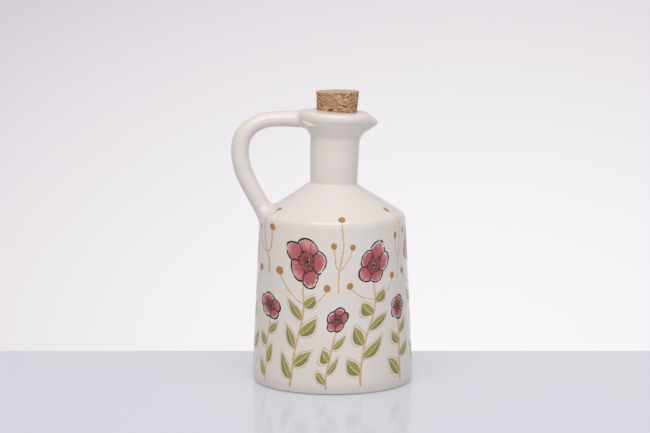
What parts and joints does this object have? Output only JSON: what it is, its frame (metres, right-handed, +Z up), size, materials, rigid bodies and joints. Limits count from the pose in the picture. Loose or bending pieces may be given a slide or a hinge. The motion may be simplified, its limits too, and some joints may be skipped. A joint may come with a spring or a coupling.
{
  "type": "oil cruet",
  "caption": "Glazed ceramic oil cruet with a leaning neck, pulled pouring beak, loop handle, sloping shoulder and tapered cork stopper.",
  "frame": {"origin": "centre of the flat base that the cruet stands on, on the body's axis", "axes": "+Z up the body's axis, +X towards the pouring beak, -X towards the handle, so the cruet is symmetric about the XZ plane"},
  "size_m": [0.1129, 0.1004, 0.1805],
  "materials": {
    "glaze": "gloss",
    "cork": "matte"
  },
  "bodies": {
    "vessel": {"body": "glaze", "neck": "glaze", "handle": "glaze"},
    "stopper": {"cork_stopper": "cork"}
  },
  "joints": [
    {"name": "cork_lift", "type": "slide", "parent": "vessel", "child": "stopper", "axis": [0.0419, 0, 0.9991], "range_m": [0, 0.04]}
  ]
}
